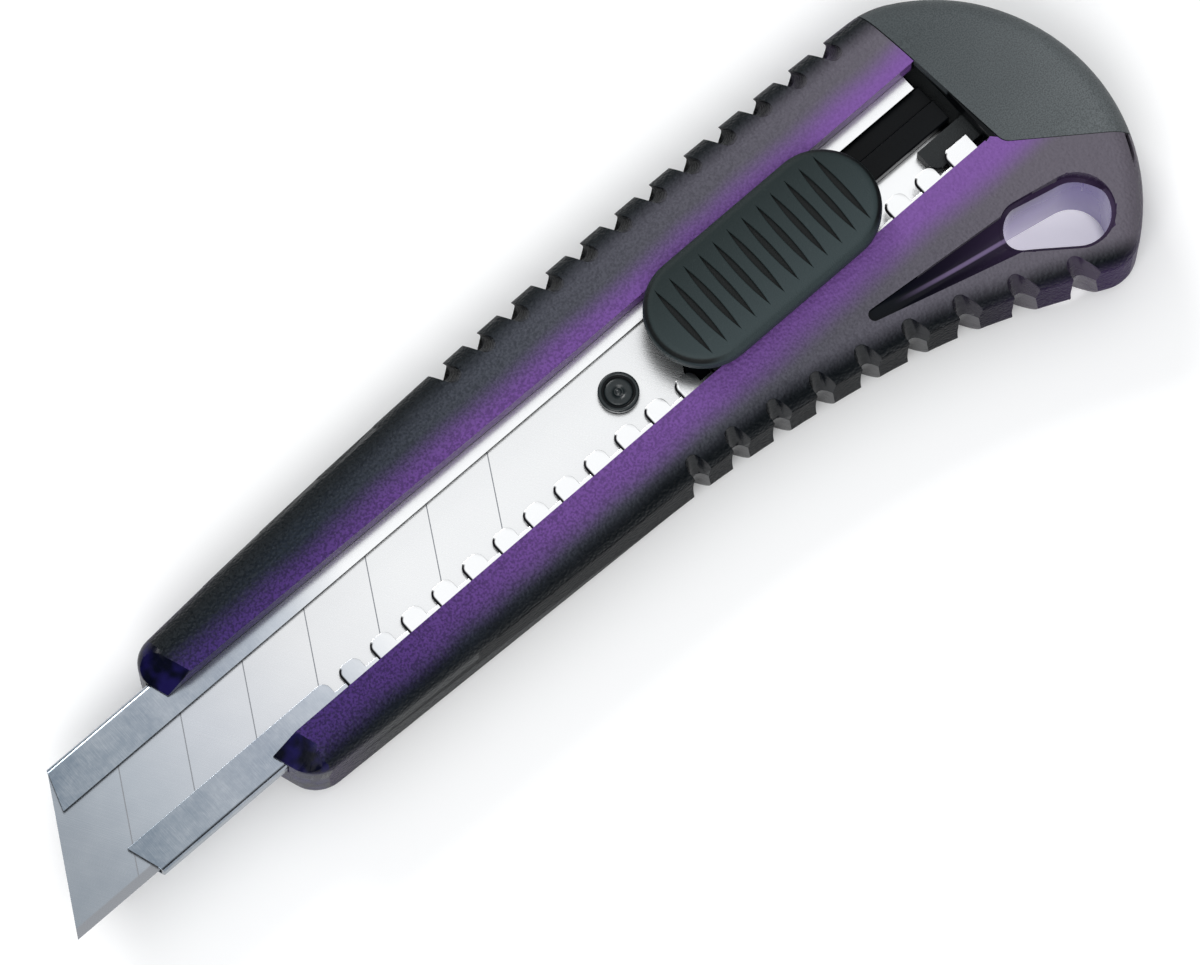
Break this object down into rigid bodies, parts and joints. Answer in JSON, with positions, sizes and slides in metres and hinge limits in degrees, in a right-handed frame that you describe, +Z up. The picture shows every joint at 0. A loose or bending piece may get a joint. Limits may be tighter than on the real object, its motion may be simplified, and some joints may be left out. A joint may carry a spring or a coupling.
{
  "type": "utility knife",
  "caption": "Snap-off blade utility knife: translucent two-shell grip with notched sides, steel rail, sliding blade carriage with a press-to-release thumb button, pull-off end cap.",
  "frame": {"origin": "the middle of the object's plan box, on the surface under its back", "axes": "+X from the blade tip to the end cap, +Y towards the blade's spine, +Z up through the slide button"},
  "size_m": [0.1668, 0.047, 0.0173],
  "materials": {
    "grip_plastic": "smoke-violet translucent plastic, fine leather grain",
    "cap_plastic": "charcoal plastic, fine grain",
    "button_plastic": "soft-touch near-black, satin",
    "black_plastic": "glossy black moulding",
    "rail_steel": "stainless sheet, light brushing",
    "blade_steel": "ground carbon steel",
    "spring_steel": "plain spring steel"
  },
  "bodies": {
    "grip": {"handle_front_shell": "grip_plastic", "handle_back_shell": "grip_plastic", "blade_rail": "rail_steel", "rail_bed": "black_plastic", "store_spring": "spring_steel", "spare_blade_1": "blade_steel", "spare_blade_2": "blade_steel"},
    "carriage": {"cutting_blade": "blade_steel", "blade_carrier": "black_plastic", "lock_spring": "spring_steel", "spring_rivet": "spring_steel", "button_spring": "spring_steel"},
    "button": {"slide_button": "button_plastic", "button_plunger": "black_plastic"},
    "cap": {"end_cap": "cap_plastic"}
  },
  "joints": [
    {"name": "blade_slide", "type": "slide", "parent": "grip", "child": "carriage", "axis": [-1, 0, 0], "range_m": [-0.0115, 0.075], "deforming": ["lock_spring"]},
    {"name": "button_press", "type": "slide", "parent": "carriage", "child": "button", "axis": [0, 0, -1], "range_m": [0, 0.0007], "stiffness_N_per_m": 1500, "springref_m": -0.0004, "deforming": ["button_spring"]},
    {"name": "end_cap_pull", "type": "slide", "parent": "grip", "child": "cap", "axis": [1, 0, 0], "range_m": [0, 0.03]}
  ]
}
